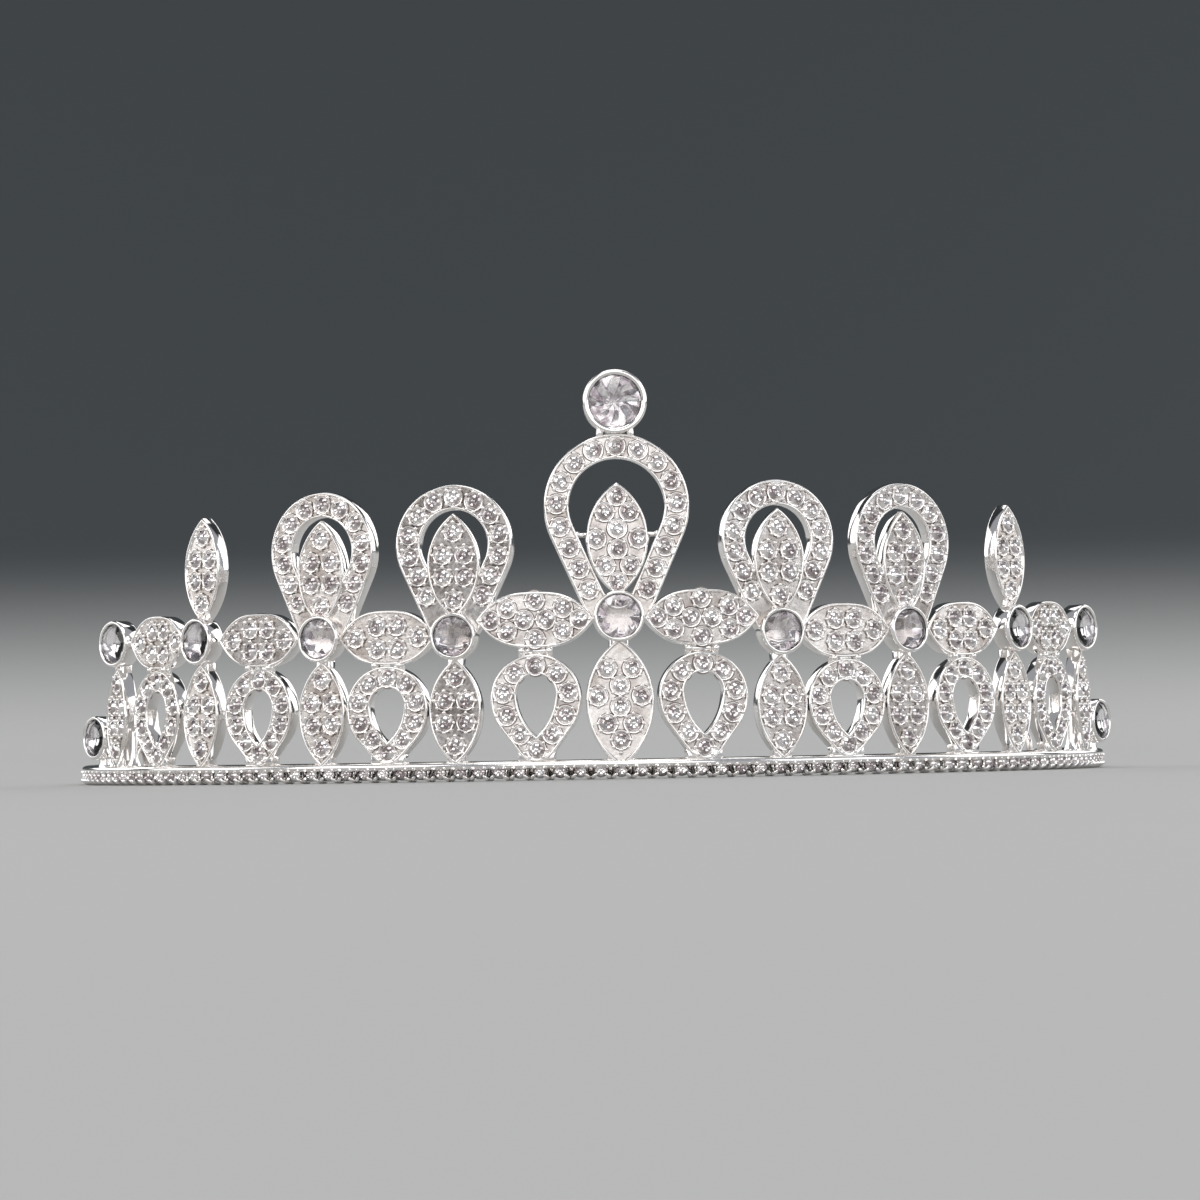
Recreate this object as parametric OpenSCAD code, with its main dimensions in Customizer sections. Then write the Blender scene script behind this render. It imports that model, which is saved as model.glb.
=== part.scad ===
// Bridal tiara: stone-set castings soldered onto a claw-chain rail.
// +Z is up, the front faces -Y and the rail stands on the XY plane.
// The rail is an arc. Its castings are flat and stand tangent to that arc, leaning a little inwards.

/* [Rail] */
// Radius of the outer face of the rail stones, half the overall width
rail_r = 74; // [72:0.5:78]
// Height of the rail
rail_h = 2.8; // [2.6:0.1:3]
// Angle from the front centre to each end of the rail
rail_end = 111; // [100:1:113]
// Thickness of the flat strip behind the claw chain
band_t = 0.8; // [0.6:0.1:1]
// Distance from one rail stone to the next
chain_pitch = 2.8; // [2.7:0.05:3]
// Radius of a rail stone
chain_stone_r = 1.05; // [0.9:0.05:1.05]
// Depth of a rail cup, from the strip to its open face
cup_depth = 1.7; // [1.5:0.1:1.9]
// Hole radius of the eyelet at each end of the rail
eyelet_r = 1.6; // [1.2:0.1:1.8]

/* [Crown] */
// Inward lean of the crown
lean = 2; // [0:0.5:4]
// Angles from the front centre to the side stems
stem_angles = [18, 33.8, 51.4, 70]; // [16:0.1:72]
// Angles from the front centre to the drops and to the leaves above them
drop_angles = [9.1, 25.8, 42.4, 59.8]; // [8:0.1:61]
// Angle from the front centre to the stone at each end of the crown
end_angle = 76; // [75:0.5:78]
// Turn of the last two stones on each side, back towards the front
end_turn = 16; // [0:1:18]
// Thickness of every casting
cast_t = 1.8; // [1.6:0.1:2]
// Height of the raised lip around a casting
lip_h = 0.25; // [0.2:0.05:0.3]
// Width of the raised lip
lip_w = 0.35; // [0.3:0.05:0.4]
// Height of the front centre setting above the rail
front_setting_v = 19.6; // [19:0.1:20]
// Height of the side settings above the rail
side_setting_v = 17.2; // [17:0.1:17.6]
// Height of the first leaf above the rail
front_leaf_v = 19.3; // [19:0.1:19.6]

/* [Stones] */
// Radius of a small set stone
pave_r = 1.15; // [1:0.05:1.2]
// Radius of a side setting's stone
side_stone_r = 2.7; // [2.5:0.1:2.8]
// Radius of the front centre setting's stone
front_stone_r = 2.95; // [2.8:0.05:3]
// Radius of the top stone
top_stone_r = 3.6; // [3.4:0.1:3.8]
// Wall thickness of a stone's cup
cup_wall = 0.6; // [0.5:0.05:0.7]

/* [Hidden] */
$fn = 96;

silver = "gainsboro";
crystal = "lightsteelblue";
gap = 0.03;                                  // clearance between a stone and its seat
pave_depth = 0.95;                           // depth of a small stone below its girdle
pave_crown = 0.4;                            // height of a small stone above its girdle
round_depth = 1.6;                           // depth of a large stone below its girdle
band_r = rail_r - 0.4 - cup_depth - band_t;  // inner face of the flat strip
chain_r = band_r + band_t;                   // back of the cups
seat_r = band_r + 0.6;                       // back face of the castings, at the rail
cap_h = 0.4;                                 // thickness of the strip's folded top edge
cup_r = (rail_h - cap_h) / 2;                // outer radius of a rail cup
chain_step = chain_pitch / (chain_r + cup_depth / 2) * 180 / PI;
chain_half = floor(rail_end / chain_step);
stone_v = cup_r;                             // height of the rail stones' centres
chain_stone_depth = 0.85;
mouth_inset = 0.3;                           // from a cup's mouth down to its stone's girdle

small_leaf = [14.6, 7.5];                    // length and width of a small leaf
front_leaf = [16.4, 7.7];                    // the leaves beside the front centre
inner_leaf = [15.6, 8.5];                    // the leaf inside the centre loop
front_stem = [17.6, 9.4];                    // the front centre stem
stem_v = 6.8;                                // height of a stem's middle
front_stem_v = 7.7;
front_stem_stones_v = 8.6;
spear_v = 27.2;

// A loop or drop is [head radius, tail radius, distance between their centres, head height]
centre_loop = [10.05, 5, 12.42, 34.75];
side_loop = [8.3, 4.05, 10, 29.85];
loop_band = 3.45;                            // width of a loop's stone-set band
second_loop_fall = 0.6;                      // how much lower the second loop stands
centre_leaf_v = 30.25;
side_leaf_v = 26.9;
first_drop = [6.3, 2.9, 5.7, 8.3];
side_drop = [6.1, 2.75, 4.76, 7.2];
first_hole = [2.7, 0.4, 5.45, 9.1];
side_hole = [2.55, 0.4, 4.6, 7.75];
drop_stone_inset = 1.65;                     // from a drop's edge to its stones' centres

setting_t = 3;                               // depth of a stone's cup
setting_w = 0.2;                             // its back face, outwards from the castings' back
side_cup_r = side_stone_r + cup_wall;
front_cup_r = front_stone_r + cup_wall;
top_cup_r = top_stone_r + 0.85;
top_v = 49.2;
top_setting_w = -0.4;
top_setting_t = 3.4;
end_cup_r = 3.1;
end_stone_r = 2.55;
end_v = 3.9;

drop_foot_w = 5.2;
tie_w = 3.6;
tie_lap = 0.4;                               // how far a tie laps onto the castings it joins
tie_t = 1;
rod_r = 0.4;                                 // rods between the centre loop and its leaf
peg_r = 0.55;                                // pegs under the top setting
link_r = 0.7;                                // link between the last leaf and the last side setting
post_angle = 66.4;
post_r = 0.45;

eyelet_rim = 1.2;                            // width of an eyelet's rim
eyelet_t = 1;
eyelet_out_r = eyelet_r + eyelet_rim;
eyelet_centre_r = band_r - 0.15 - eyelet_t / 2;
eyelet_angle = rail_end + 1.6;

// The arc's centre sits where the whole tiara is centred front to back.
front_reach = seat_r + setting_w + setting_t + 0.45 - front_setting_v * sin(lean);
back_reach = -eyelet_centre_r * cos(eyelet_angle) + eyelet_out_r * sin(eyelet_angle);
arc_y = (front_reach - back_reach) / 2;

// ---------- Placing ----------

// Local frame on the rail's arc: X along the rail, Y up, Z outwards.
module on_arc(angle, radius, height) {
    translate([0, arc_y, 0])
        rotate([0, 0, angle])
            translate([0, -radius, height])
                rotate([90, 0, 0])
                    children();
}

// The same frame for the leaning crown, from the top of the rail.
module on_crown(angle, v = 0, w = 0) {
    on_arc(angle, seat_r, rail_h)
        rotate([-lean, 0, 0])
            translate([0, v, w])
                children();
}

// The frame of a stone's cup, its back face at Z = 0. The last cups turn back towards the front.
module on_cup(angle, v) {
    turn = abs(angle) < stem_angles[3] ? 0 : end_turn;
    on_crown(angle, v, setting_w)
        rotate([0, -sign(angle) * turn, 0])
            children();
}

// ---------- Outlines ----------

// Pointed leaf between two equal arcs, its long axis along Y
module leaf_outline(size) {
    arc = (size.x * size.x + size.y * size.y) / (4 * size.y);
    intersection() {
        translate([arc - size.y / 2, 0])
            circle(arc);
        translate([size.y / 2 - arc, 0])
            circle(arc);
    }
}

// Round head at the origin, straight sides and a smaller round tail below
module drop_outline(head_r, tail_r, reach) {
    s = (head_r - tail_r) / reach;
    c = sqrt(1 - s * s);
    circle(head_r);
    translate([0, -reach])
        circle(tail_r);
    polygon([
        [head_r * c, -head_r * s],
        [-head_r * c, -head_r * s],
        [-tail_r * c, -reach - tail_r * s],
        [tail_r * c, -reach - tail_r * s]
    ]);
}

// ---------- Stones ----------

// Round brilliant with its girdle at Z = 0
module stone(r, depth, crown) {
    girdle = 0.06 * r;
    rotate_extrude()
        polygon([[0, -depth], [r, 0], [r, girdle], [0.58 * r, crown], [0, crown]]);
}

// Small eight-sided stone with its girdle at Z = 0
module small_stone(r, depth, crown) {
    hull() {
        translate([0, 0, -depth])
            cylinder(h = depth, r1 = 0, r2 = r, $fn = 8);
        cylinder(h = crown, r1 = r, r2 = 0.58 * r, $fn = 8);
    }
}

// Pocket that a stone drops into
module seat(r, depth) {
    rotate_extrude()
        polygon([[0, -depth - gap], [r + gap, 0], [r + gap, 1.5], [0, 1.5]]);
}

// The small stones' places, in each casting's own frame
small_leaf_stones = [for (p = [[0, 1], [1, 0.32], [-1, 0.32]]) each
    [for (s = [1, -1]) [p.x * 1.55, s * p.y * 4.7]]];

function large_leaf_stones(size) = [
    for (s = [1, -1])
        each [
            [0, s * 0.378 * size.x],
            [0.2 * size.y, s * 0.238 * size.x],
            [-0.2 * size.y, s * 0.238 * size.x],
            [0, s * 0.092 * size.x],
            [s * 0.342 * size.y, 0]
        ]
];

// A point on the line of a loop's or drop's stones, some way along it from the top
function loop_point(loop, inset, along) =
    let (
        tilt = asin((loop[0] - loop[1]) / loop[2]),
        mid_r = loop[0] - inset,
        arc = mid_r * (90 + tilt) * PI / 180,
        turn = along * 180 / PI / mid_r
    )
    along < arc
        ? [mid_r * sin(turn), mid_r * cos(turn)]
        : [
            mid_r * cos(tilt) - (along - arc) * sin(tilt),
            -mid_r * sin(tilt) - (along - arc) * cos(tilt)
        ];

// Stones spaced evenly from the top down both sides
function loop_stones(loop, inset, pairs, pitch) = [
    [0, loop[0] - inset],
    for (k = [1:pairs])
        for (s = [1, -1])
            let (p = loop_point(loop, inset, k * pitch))
                [s * p.x, p.y]
];

centre_loop_stones = loop_stones(centre_loop, loop_band / 2, 8, 3.17);
side_loop_stones = loop_stones(side_loop, loop_band / 2, 6, 2.98);

// Ten stones spaced evenly around a drop
function drop_stones(drop) =
    let (
        tilt = asin((drop[0] - drop[1]) / drop[2]),
        head = (drop[0] - drop_stone_inset) * (180 + 2 * tilt),
        tail = (drop[1] - drop_stone_inset) * (180 - 2 * tilt),
        line = (head + tail) * PI / 180 + 2 * drop[2] * cos(tilt)
    )
    [
        each loop_stones(drop, drop_stone_inset, 4, line / 10),
        [0, -drop[2] - drop[1] + drop_stone_inset]
    ];

module stones_at(places) {
    for (p = places)
        translate([p.x, p.y, cast_t])
            small_stone(pave_r, pave_depth, pave_crown);
}

module seats_at(places) {
    for (p = places)
        translate([p.x, p.y, cast_t])
            seat(pave_r, pave_depth);
}

// ---------- Castings ----------

// A plate with a raised lip around it. The first child is the outline, the second the field inside the lip.
module lipped_plate() {
    linear_extrude(cast_t)
        children(0);
    translate([0, 0, cast_t])
        linear_extrude(lip_h)
            difference() {
                children(0);
                children(1);
            }
}

module lipped_leaf(size) {
    lipped_plate() {
        leaf_outline(size);
        leaf_outline(size - [2.6 * lip_w, 2 * lip_w]);
    }
}

module leaf_casting(size, places) {
    difference() {
        lipped_leaf(size);
        seats_at(places);
    }
}

// Space below the top of the rail, where stems and drops end
module rail_space() {
    translate([-5, -5, -1])
        cube([10, 5, 5]);
}

// Neck above and foot below a stem, between two heights
module stem_bar(width, low, high) {
    translate([-width / 2, low, 0])
        cube([width, high - low, cast_t]);
}

module stem(size, v, stones_v, places, neck_w, foot_w, top) {
    difference() {
        union() {
            translate([0, v, 0])
                lipped_leaf(size);
            stem_bar(neck_w, top - 3, top);
            stem_bar(foot_w, 0, 1.4);
        }
        rail_space();
        translate([0, stones_v, 0])
            seats_at(places);
    }
}

module drop_casting(drop, hole) {
    difference() {
        union() {
            translate([0, drop[3], 0])
                lipped_plate() {
                    drop_outline(drop[0], drop[1], drop[2]);
                    drop_outline(drop[0] - lip_w, drop[1] - lip_w, drop[2]);
                }
            stem_bar(drop_foot_w, 0, 1);
        }
        translate([0, hole[3], -1])
            linear_extrude(5)
                drop_outline(hole[0], hole[1], hole[2]);
        rail_space();
        translate([0, drop[3], 0])
            seats_at(drop_stones(drop));
    }
}

module loop_casting(loop, places, leaf, leaf_v) {
    difference() {
        lipped_plate() {
            drop_outline(loop[0], loop[1], loop[2]);
            drop_outline(loop[0] - lip_w, loop[1] - lip_w, loop[2]);
        }
        translate([0, 0, -1])
            linear_extrude(5)
                drop_outline(loop[0] - loop_band, loop[1] - loop_band, loop[2]);
        translate([0, leaf_v - loop[3], -1])
            linear_extrude(5)
                leaf_outline(leaf + [0.1, 0.1]);
        seats_at(places);
    }
}

// Space taken by the stone cups at the given stem angles, so that castings end against them
module cup_space(angles) {
    for (a = angles)
        on_cup(a, a == 0 ? front_setting_v : side_setting_v)
            translate([0, 0, -3])
                cylinder(h = 9, r = a == 0 ? front_cup_r + gap : side_cup_r + gap);
}

function leaf_size(i) = i == 0 ? front_leaf : small_leaf;
function leaf_v(i) = i == 0 ? front_leaf_v : side_setting_v;

// Space taken by the leaf lying at drop angle i on one side
module leaf_space(i, side) {
    on_crown(side * drop_angles[i], leaf_v(i), -1)
        rotate([0, 0, 90])
            linear_extrude(6)
                leaf_outline(leaf_size(i) + [0.06, 0.06]);
}

// ---------- Rail ----------

// Flat strip with its top edge folded over the claw chain
module base_band() {
    color(silver)
        translate([0, arc_y, 0])
            rotate([0, 0, -90 - rail_end])
                rotate_extrude(angle = 2 * rail_end)
                    polygon([
                        [band_r, 0],
                        [chain_r, 0],
                        [chain_r, rail_h - cap_h],
                        [chain_r + cup_depth, rail_h - cap_h],
                        [chain_r + cup_depth, rail_h],
                        [band_r, rail_h]
                    ]);
}

module each_cup(first, last) {
    for (k = [first:last])
        on_arc(k * chain_step, chain_r, stone_v)
            children();
}

// Round cup with a conical bed for its stone
module cup() {
    mouth_r = chain_stone_r + gap;
    bed = cup_depth - mouth_inset;
    rotate_extrude()
        polygon([
            [0, 0],
            [cup_r, 0],
            [cup_r, cup_depth],
            [mouth_r, cup_depth],
            [mouth_r, bed],
            [0, bed - chain_stone_depth - gap]
        ]);
}

module cup_chain(first, last) {
    color(silver)
        each_cup(first, last)
            cup();
}

module chain_stones() {
    color(crystal)
        each_cup(-chain_half, chain_half)
            translate([0, 0, cup_depth - mouth_inset])
                small_stone(chain_stone_r, chain_stone_depth, 0.5);
}

// Flat ring with a tab that laps behind the end of the strip
module end_eyelet(side) {
    tab = 5;
    color(silver)
        on_arc(side * eyelet_angle, eyelet_centre_r, eyelet_out_r)
            difference() {
                translate([0, 0, -eyelet_t / 2])
                    union() {
                        cylinder(h = eyelet_t, r = eyelet_out_r);
                        translate([side > 0 ? -tab : 0, -eyelet_out_r + 0.4, 0])
                            cube([tab, 1.8, eyelet_t]);
                    }
                cylinder(h = 4, r = eyelet_r, center = true);
            }
}

// ---------- Lower row ----------

module stem_front() {
    color(silver)
        difference() {
            on_crown(0)
                stem(
                    front_stem, front_stem_v, front_stem_stones_v, front_stem_stones,
                    neck_w = 2.8, foot_w = 3.8, top = 16.6
                );
            cup_space([0]);
        }
}

front_stem_stones = [for (p = large_leaf_stones([16, 8.8])) if (p.y < 5) p];

module side_stem(i, side) {
    a = side * stem_angles[i];
    color(silver)
        difference() {
            on_crown(a)
                stem(small_leaf, stem_v, stem_v, small_leaf_stones, neck_w = 2.3, foot_w = 2.8, top = 14.4);
            cup_space([a]);
        }
}

function drop_of(i) = i == 0 ? first_drop : side_drop;

module drop(i, side) {
    color(silver)
        on_crown(side * drop_angles[i])
            drop_casting(drop_of(i), i == 0 ? first_hole : side_hole);
}

// ---------- Middle row ----------

module leaf(i, side) {
    inner = side * (i == 0 ? 0 : stem_angles[i - 1]);
    outer = side * stem_angles[i];
    color(silver)
        difference() {
            on_crown(side * drop_angles[i], leaf_v(i))
                rotate([0, 0, 90])
                    leaf_casting(leaf_size(i), leaf_stones(i));
            cup_space([inner, outer]);
        }
}

function leaf_stones(i) = i == 0 ? large_leaf_stones(front_leaf) : small_leaf_stones;

// Round cup whose wall turns in over the stone's edge
module stone_cup(outer_r, stone_r, depth) {
    difference() {
        rotate_extrude()
            polygon([
                [0, 0],
                [0.8 * outer_r, 0],
                [outer_r, 0.5],
                [outer_r, depth - 0.35],
                [stone_r + 0.12, depth],
                [0, depth]
            ]);
        translate([0, 0, depth - mouth_inset])
            seat(stone_r, round_depth);
    }
}

module setting(angle, v, outer_r, stone_r) {
    color(silver)
        on_cup(angle, v)
            stone_cup(outer_r, stone_r, setting_t);
}

module side_setting(i, side) {
    setting(side * stem_angles[i], side_setting_v, side_cup_r, side_stone_r);
}

module end_setting(side) {
    setting(side * end_angle, end_v, end_cup_r, end_stone_r);
}

// ---------- Upper row ----------

module centre_loop() {
    color(silver)
        difference() {
            on_crown(0, centre_loop[3])
                loop_casting(centre_loop, centre_loop_stones, inner_leaf, centre_leaf_v);
            cup_space([0]);
            leaf_space(0, 1);
            leaf_space(0, -1);
            on_crown(0, front_leaf_v + 0.9, -1)
                translate([-10, -10, 0])
                    cube([20, 10, 5]);
        }
}

module centre_leaf() {
    color(silver)
        difference() {
            on_crown(0, centre_leaf_v)
                leaf_casting(inner_leaf, large_leaf_stones(inner_leaf));
            cup_space([0]);
        }
}

function loop_fall(i) = i * second_loop_fall;

module side_loop(i, side) {
    a = side * stem_angles[i];
    color(silver)
        difference() {
            on_crown(a, side_loop[3] - loop_fall(i))
                loop_casting(side_loop, side_loop_stones, small_leaf, side_leaf_v);
            cup_space([a]);
            leaf_space(i, side);
            leaf_space(i + 1, side);
        }
}

module side_loop_leaf(i, side) {
    a = side * stem_angles[i];
    color(silver)
        difference() {
            on_crown(a, side_leaf_v - loop_fall(i))
                leaf_casting(small_leaf, small_leaf_stones);
            cup_space([a]);
        }
}

module spear(side) {
    a = side * stem_angles[2];
    color(silver)
        difference() {
            on_crown(a) {
                translate([0, spear_v, 0])
                    leaf_casting(small_leaf, small_leaf_stones);
                stem_bar(2, side_setting_v, spear_v - 5.6);
            }
            cup_space([a]);
        }
}

module top_setting() {
    color(silver)
        on_crown(0, top_v, top_setting_w)
            stone_cup(top_cup_r, top_stone_r, top_setting_t);
}

// ---------- Small joining metal ----------

// Flat bridge between two heights
module tie(angle, low, high, width) {
    on_crown(angle, low - tie_lap, 0.4)
        translate([-width / 2, 0, 0])
            cube([width, high - low + 2 * tie_lap, tie_t]);
}

// Bridges under the leaves and end settings, links beside the last leaves, rods in the centre loop,
// pegs under the top setting and posts
module solder_ties() {
    color(silver)
        for (side = [-1, 1]) {
            for (i = [0:3]) {
                top = drop_of(i)[3] + drop_of(i)[0];
                low = leaf_v(i) - leaf_size(i).y / 2;
                tie(side * drop_angles[i], top, low, tie_w);
            }
            tie(side * end_angle, tie_lap, end_v - end_cup_r, 2.4);
            on_crown(side * drop_angles[3], side_setting_v, 0.75)
                rotate([0, side * 90, 0])
                    translate([0, 0, 6.6])
                        cylinder(h = 3.1, r = link_r);
            on_crown(0, centre_leaf_v + 0.6, 1)
                rotate([0, side * 90, 0])
                    translate([0, 0, 4.15])
                        cylinder(h = 2.5, r = rod_r);
            on_crown(0, 44.3, 1)
                translate([side * 2.1, 0, 0])
                    rotate([-90, 0, 0])
                        cylinder(h = 1.3, r = peg_r);
            on_crown(side * post_angle, 0, 0.9)
                rotate([-90, 0, 0]) {
                    cylinder(h = 4.6, r = post_r);
                    cylinder(h = 0.9, r1 = 1, r2 = post_r);
                }
        }
}

// ---------- Stone groups ----------

module set_stone(angle, v, r, crown) {
    on_cup(angle, v)
        translate([0, 0, setting_t - mouth_inset])
            stone(r, round_depth, crown);
}

module round_stones() {
    color(crystal) {
        set_stone(0, front_setting_v, front_stone_r, 0.75);
        on_crown(0, top_v, top_setting_w + top_setting_t - mouth_inset)
            stone(top_stone_r, round_depth, 0.9);
        for (side = [-1, 1]) {
            for (a = stem_angles)
                set_stone(side * a, side_setting_v, side_stone_r, 0.7);
            set_stone(side * end_angle, end_v, end_stone_r, 0.7);
        }
    }
}

module lower_pave() {
    color(crystal) {
        on_crown(0, front_stem_stones_v)
            stones_at(front_stem_stones);
        for (side = [-1, 1])
            for (i = [0:3]) {
                on_crown(side * stem_angles[i], stem_v)
                    stones_at(small_leaf_stones);
                on_crown(side * drop_angles[i], drop_of(i)[3])
                    stones_at(drop_stones(drop_of(i)));
            }
    }
}

module middle_pave() {
    color(crystal)
        for (side = [-1, 1])
            for (i = [0:3])
                on_crown(side * drop_angles[i], leaf_v(i))
                    rotate([0, 0, 90])
                        stones_at(leaf_stones(i));
}

module upper_pave() {
    color(crystal) {
        on_crown(0, centre_loop[3])
            stones_at(centre_loop_stones);
        on_crown(0, centre_leaf_v)
            stones_at(large_leaf_stones(inner_leaf));
        for (side = [-1, 1]) {
            for (i = [0, 1]) {
                on_crown(side * stem_angles[i], side_loop[3] - loop_fall(i))
                    stones_at(side_loop_stones);
                on_crown(side * stem_angles[i], side_leaf_v - loop_fall(i))
                    stones_at(small_leaf_stones);
            }
            on_crown(side * stem_angles[2], spear_v)
                stones_at(small_leaf_stones);
        }
    }
}

// ---------- Nodes ----------

function side_of(word) = word == "left" ? -1 : 1;

base_band();
cup_chain(-chain_half, 0);  // cup_chain_left
cup_chain(1, chain_half);  // cup_chain_right
chain_stones();
stem_front();
setting(0, front_setting_v, front_cup_r, front_stone_r);  // setting_front
top_setting();
centre_loop();
centre_leaf();
solder_ties();
round_stones();
lower_pave();
middle_pave();
upper_pave();

for (word = ["left", "right"]) {
    side = side_of(word);
    end_eyelet(side);
    end_setting(side);
    spear(side);
    for (i = [0:3]) {
        side_stem(i, side);
        drop(i, side);
        leaf(i, side);
        side_setting(i, side);
    }
    for (i = [0, 1]) {
        side_loop(i, side);
        side_loop_leaf(i, side);
    }
}
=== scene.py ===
"""Looks for the bridal tiara: cast, stone-set silver plate and foil-backed crystals round the CAD frame.

Lengths are in millimetres until a mesh is made. A casting's own frame has x along the rail, y up and
z outwards.
"""

import math
import random

import bmesh
import bpy
import numpy as np
from mathutils import Matrix, Vector
from mathutils.geometry import tessellate_polygon


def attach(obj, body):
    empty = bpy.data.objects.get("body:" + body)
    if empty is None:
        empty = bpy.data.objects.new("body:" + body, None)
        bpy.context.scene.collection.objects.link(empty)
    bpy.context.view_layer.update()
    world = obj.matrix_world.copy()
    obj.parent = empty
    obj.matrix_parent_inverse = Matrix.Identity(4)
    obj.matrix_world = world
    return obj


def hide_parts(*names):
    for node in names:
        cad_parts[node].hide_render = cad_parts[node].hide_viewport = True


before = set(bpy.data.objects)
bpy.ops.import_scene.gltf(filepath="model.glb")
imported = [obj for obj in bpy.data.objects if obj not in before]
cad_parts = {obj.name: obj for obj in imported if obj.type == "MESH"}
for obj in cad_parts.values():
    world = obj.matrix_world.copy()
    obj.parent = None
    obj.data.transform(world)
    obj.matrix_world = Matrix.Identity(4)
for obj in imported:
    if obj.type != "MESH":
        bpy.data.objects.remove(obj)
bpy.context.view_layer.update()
MM = 0.001
rng = random.Random(7)

# The rail and the lean of the crown, as in the CAD source
RAIL_R, RAIL_H, RAIL_END = 74.0, 2.8, 111.0
BAND_R, BAND_T, CUP_DEPTH = 71.1, 0.8, 1.7
CHAIN_R = BAND_R + BAND_T
SEAT_R = BAND_R + 0.6
LEAN = math.radians(2)
EYELET_R, EYELET_OUT, EYELET_T = 1.6, 2.8, 1.0
EYELET_ANGLE = RAIL_END + 1.6
EYELET_CENTRE_R = BAND_R - 0.15 - EYELET_T / 2
FRONT_V, SIDE_V = 19.6, 17.2
CUP_W, CUP_DEEP = 0.2, 3
# The tiara's depth is centred on the origin
front_reach = SEAT_R + CUP_W + CUP_DEEP + 0.45 - FRONT_V * math.sin(LEAN)
back_reach = (-EYELET_CENTRE_R * math.cos(math.radians(EYELET_ANGLE))
              + EYELET_OUT * math.sin(math.radians(EYELET_ANGLE)))
ARC_Y = (front_reach - back_reach) / 2

# The castings' sizes and places
CAST_T = 1.8
STEMS = (18, 33.8, 51.4, 70)
DROPS = (9.1, 25.8, 42.4, 59.8)
SMALL_LEAF, FRONT_LEAF, INNER_LEAF = (14.6, 7.5), (16.4, 7.7), (15.6, 8.5)
FRONT_STEM = (17.6, 9.4)
CENTRE_LOOP, SIDE_LOOP = (10.05, 5, 12.42), (8.3, 4.05, 10)
CENTRE_LOOP_V, SIDE_LOOP_V, SECOND_FALL = 34.75, 29.85, 0.6
LOOP_BAND = 3.45
CENTRE_LEAF_V, SIDE_LEAF_V, SPEAR_V = 30.25, 26.9, 27.2
FIRST_DROP, SIDE_DROP = (6.3, 2.9, 5.7), (6.1, 2.75, 4.76)
FIRST_DROP_V, SIDE_DROP_V = 8.3, 7.2
DROP_STONE_INSET = 1.65
FIRST_HOLE, SIDE_HOLE = (2.7, 0.4, 5.45), (2.55, 0.4, 4.6)
FIRST_HOLE_V, SIDE_HOLE_V = 9.1, 7.75
STEM_V, FRONT_STEM_V, FRONT_STEM_STONES_V = 6.8, 7.7, 8.6
FRONT_LEAF_V = 19.3
PAVE_R = 1.15
SIDE_STONE, FRONT_STONE, TOP_STONE, END_STONE = 2.7, 2.95, 3.6, 2.55
TOP_V, END_V, END_ANGLE, END_TURN = 49.2, 3.9, 76, 16
CUP_WALL, TOP_WALL, END_CUP_R = 0.6, 0.85, 3.1
CENTRE_PITCH, SIDE_PITCH = 3.17, 2.98
POST_ANGLE = 66.4


# ---------- Placing ----------

def on_arc(angle, x, out, height):
    """Points on the rail's arc, in metres: x along it, out from its centre, height above the floor."""
    a = math.radians(angle)
    return MM * np.stack([
        x * math.cos(a) + out * math.sin(a),
        x * math.sin(a) - out * math.cos(a) + ARC_Y,
        height + 0 * x,
    ], axis=1)


def crown(angle, v=0.0, w=0.0):
    """Placer for the leaning crown, v above the rail and w outwards from the castings' back."""
    def place(p):
        p = np.asarray(p, float).reshape(-1, 3)
        y, z = p[:, 1] + v, p[:, 2] + w
        up = y * math.cos(LEAN) + z * math.sin(LEAN)
        out = z * math.cos(LEAN) - y * math.sin(LEAN)
        return on_arc(angle, p[:, 0], SEAT_R + out, RAIL_H + up)
    return place


def on_rail(angle, radius, height):
    """Placer for things on the rail, with z outwards from the given radius."""
    def place(p):
        p = np.asarray(p, float).reshape(-1, 3)
        return on_arc(angle, p[:, 0], radius + p[:, 2], height + p[:, 1])
    return place


def turned(place, degrees, x=0.0, y=0.0, z=0.0):
    """Placer inside another: turned about its z axis, then moved."""
    c, s = math.cos(math.radians(degrees)), math.sin(math.radians(degrees))

    def inner(p):
        p = np.asarray(p, float).reshape(-1, 3)
        q = np.stack([x + c * p[:, 0] - s * p[:, 1], y + s * p[:, 0] + c * p[:, 1], z + p[:, 2]], axis=1)
        return place(q)
    return inner


# ---------- Mesh making ----------

class Solid:
    """Vertices and faces of one piece, gathered from its closed parts."""

    def __init__(self):
        self.points, self.faces, self.flat, self.finish, self.count = [], [], [], [], 0

    def add(self, points, faces, flat=False, finish=0):
        self.points.append(points)
        self.faces += [tuple(i + self.count for i in f) for f in faces]
        self.flat += [flat] * len(faces)
        self.finish += finish if isinstance(finish, list) else [finish] * len(faces)
        self.count += len(points)

    def make(self, name, materials, nodes=(), slot="silver_plate"):
        mesh = bpy.data.meshes.new(name)
        mesh.from_pydata(np.concatenate(self.points).tolist(), [], self.faces)
        flat = np.array(self.flat)
        bm = bmesh.new()
        bm.from_mesh(mesh)
        bmesh.ops.recalc_face_normals(bm, faces=bm.faces)
        bm.to_mesh(mesh)
        bm.free()
        mesh.polygons.foreach_set("use_smooth", ~flat)
        mesh.polygons.foreach_set("material_index", self.finish)
        mesh.set_sharp_from_angle(angle=math.radians(50))
        for m in materials:
            mesh.materials.append(m)
        piece = bpy.data.objects.new(name, mesh)
        bpy.context.scene.collection.objects.link(piece)
        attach(piece, "root")
        if nodes:
            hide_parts(*nodes)


def quads(rows, n, closed=False):
    """Faces between rings of n points, one after another."""
    last = rows if closed else rows - 1
    return [
        (r * n + k, r * n + (k + 1) % n, ((r + 1) % rows) * n + (k + 1) % n, ((r + 1) % rows) * n + k)
        for r in range(last) for k in range(n)
    ]


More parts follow.
